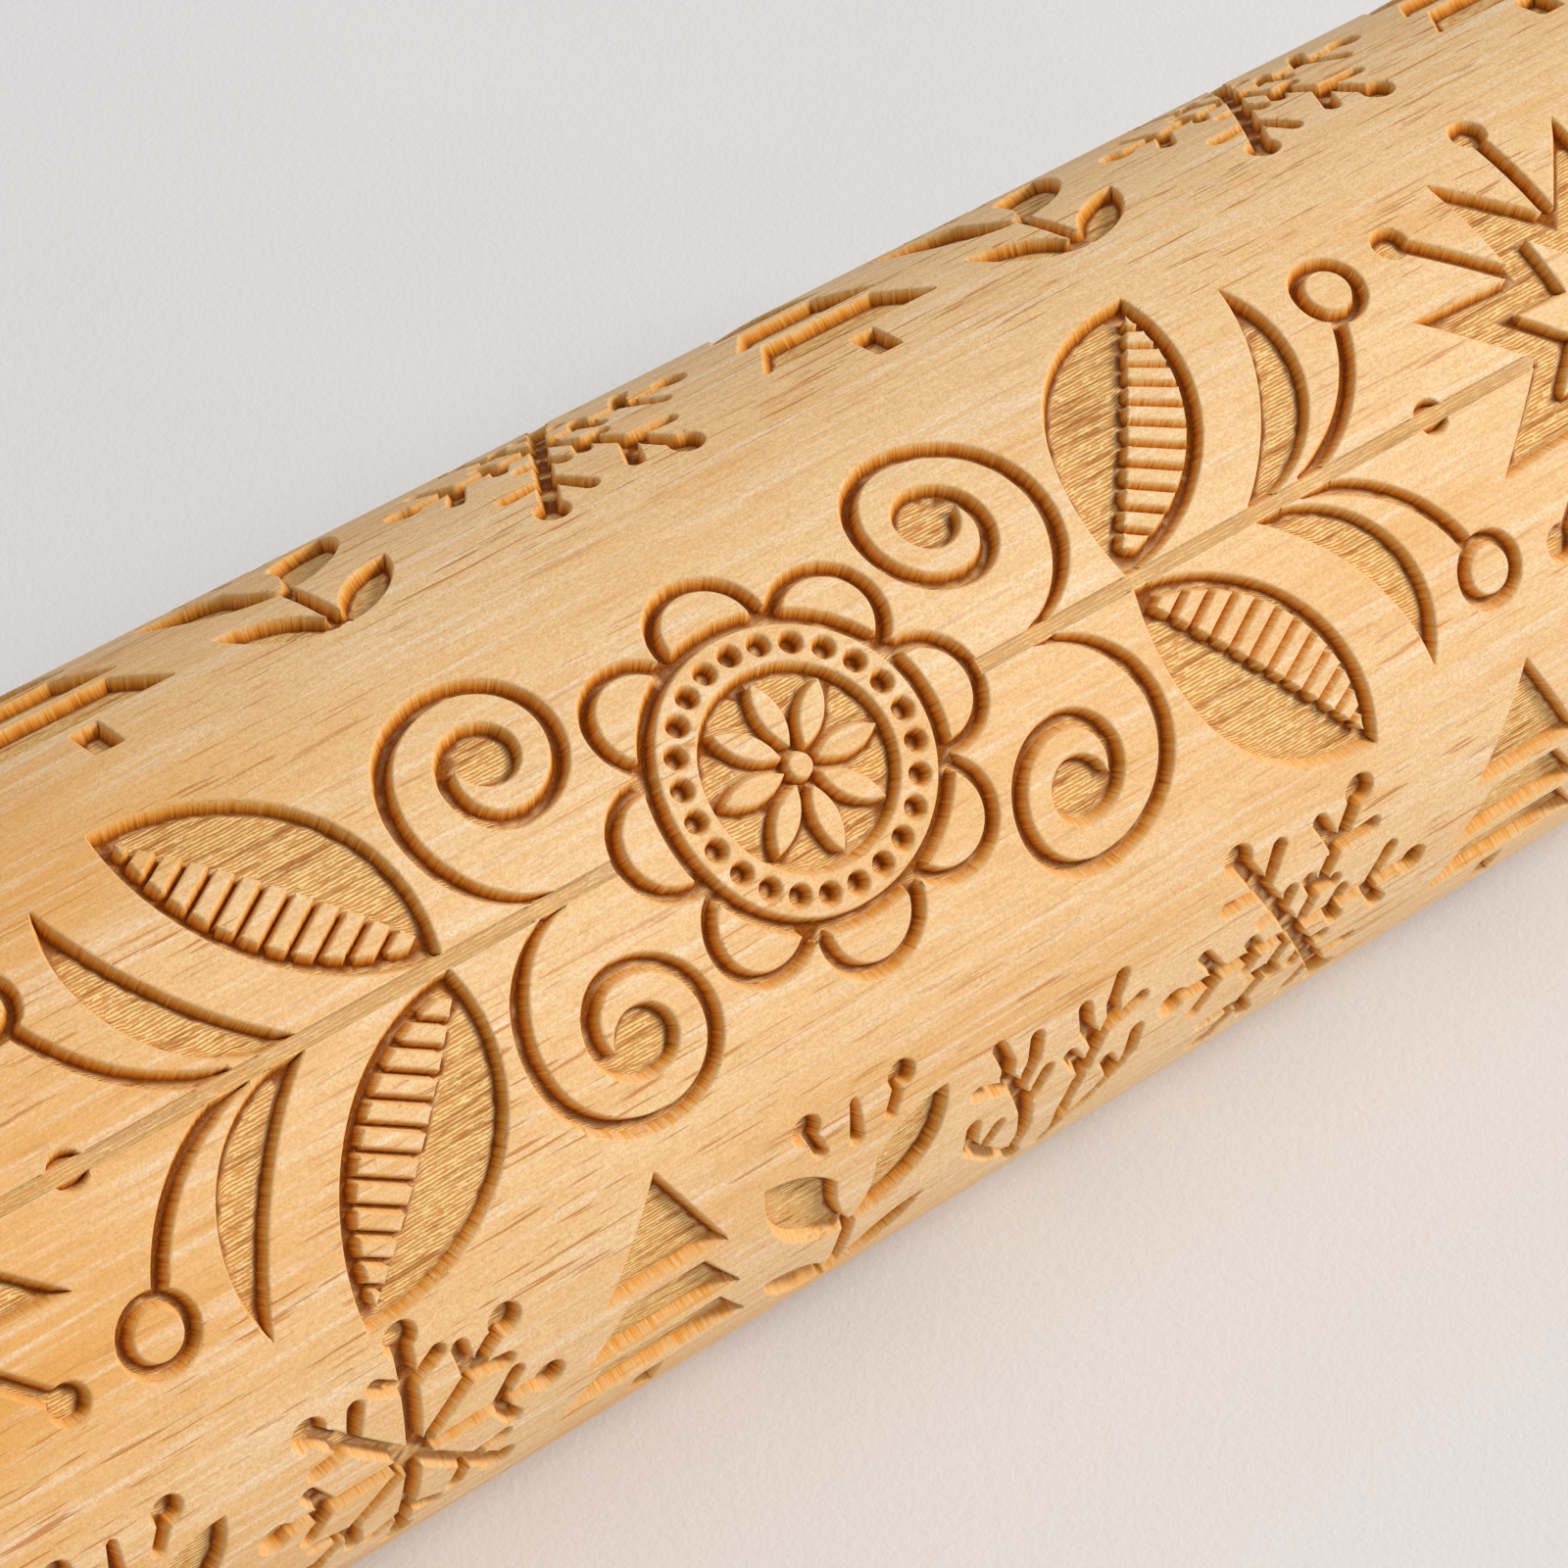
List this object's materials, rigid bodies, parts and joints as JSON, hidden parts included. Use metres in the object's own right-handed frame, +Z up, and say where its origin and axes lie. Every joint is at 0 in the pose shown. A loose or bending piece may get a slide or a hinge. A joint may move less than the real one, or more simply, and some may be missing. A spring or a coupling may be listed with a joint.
{
  "type": "engraved rolling pin",
  "caption": "Wooden rolling pin with a relief-engraved barrel that turns on ball bearings between two fixed turned handles.",
  "frame": {"origin": "centre of the barrel, on its axis", "axes": "+X along the axle towards the right handle, +Z up, +Y away from the user"},
  "size_m": [0.43, 0.06, 0.06],
  "materials": {
    "engraved_wood": "pale close-grained wood, fine sanded and unvarnished, with scorched recess walls",
    "handle_wood": "pale turned wood, fine sanded and unvarnished",
    "steel_rod": "drawn bright steel",
    "bearing_steel": "ground and polished bearing steel",
    "spring_steel": "blackened spring steel",
    "zinc_steel": "zinc plated steel",
    "acetal": "natural moulded acetal",
    "cage_nylon": "natural moulded nylon"
  },
  "bodies": {
    "spindle": {"axle_rod": "steel_rod", "left_bearing_inner_race": "bearing_steel", "left_circlip": "spring_steel", "left_spacer_sleeve": "steel_rod", "left_thrust_washer": "steel_rod", "left_handle": "handle_wood", "left_nut_washer": "zinc_steel", "left_lock_nut": "zinc_steel", "left_end_plug": "handle_wood", "right_bearing_inner_race": "bearing_steel", "right_circlip": "spring_steel", "right_spacer_sleeve": "steel_rod", "right_thrust_washer": "steel_rod", "right_handle": "handle_wood", "right_nut_washer": "zinc_steel", "right_lock_nut": "zinc_steel", "right_end_plug": "handle_wood"},
    "roller": {"barrel": "engraved_wood", "left_bearing_cup": "acetal", "left_dust_cap": "acetal", "left_bearing_outer_race": "bearing_steel", "left_bearing_shields": "zinc_steel", "right_bearing_cup": "acetal", "right_dust_cap": "acetal", "right_bearing_outer_race": "bearing_steel", "right_bearing_shields": "zinc_steel"},
    "left_ball_cage": {"left_bearing_balls": "bearing_steel", "left_bearing_cage": "cage_nylon"},
    "right_ball_cage": {"right_bearing_balls": "bearing_steel", "right_bearing_cage": "cage_nylon"}
  },
  "joints": [
    {"name": "barrel_spin", "type": "hinge", "parent": "spindle", "child": "roller", "pos_m": [0, 0, 0], "axis": [1, 0, 0], "continuous": true},
    {"name": "left_cage_spin", "type": "hinge", "parent": "spindle", "child": "left_ball_cage", "pos_m": [0, 0, 0], "axis": [1, 0, 0], "continuous": true},
    {"name": "right_cage_spin", "type": "hinge", "parent": "spindle", "child": "right_ball_cage", "pos_m": [0, 0, 0], "axis": [1, 0, 0], "continuous": true}
  ],
  "couplings": [
    {"joint": "left_cage_spin", "follows": "barrel_spin", "ratio": 0.6323},
    {"joint": "right_cage_spin", "follows": "barrel_spin", "ratio": 0.6323}
  ]
}
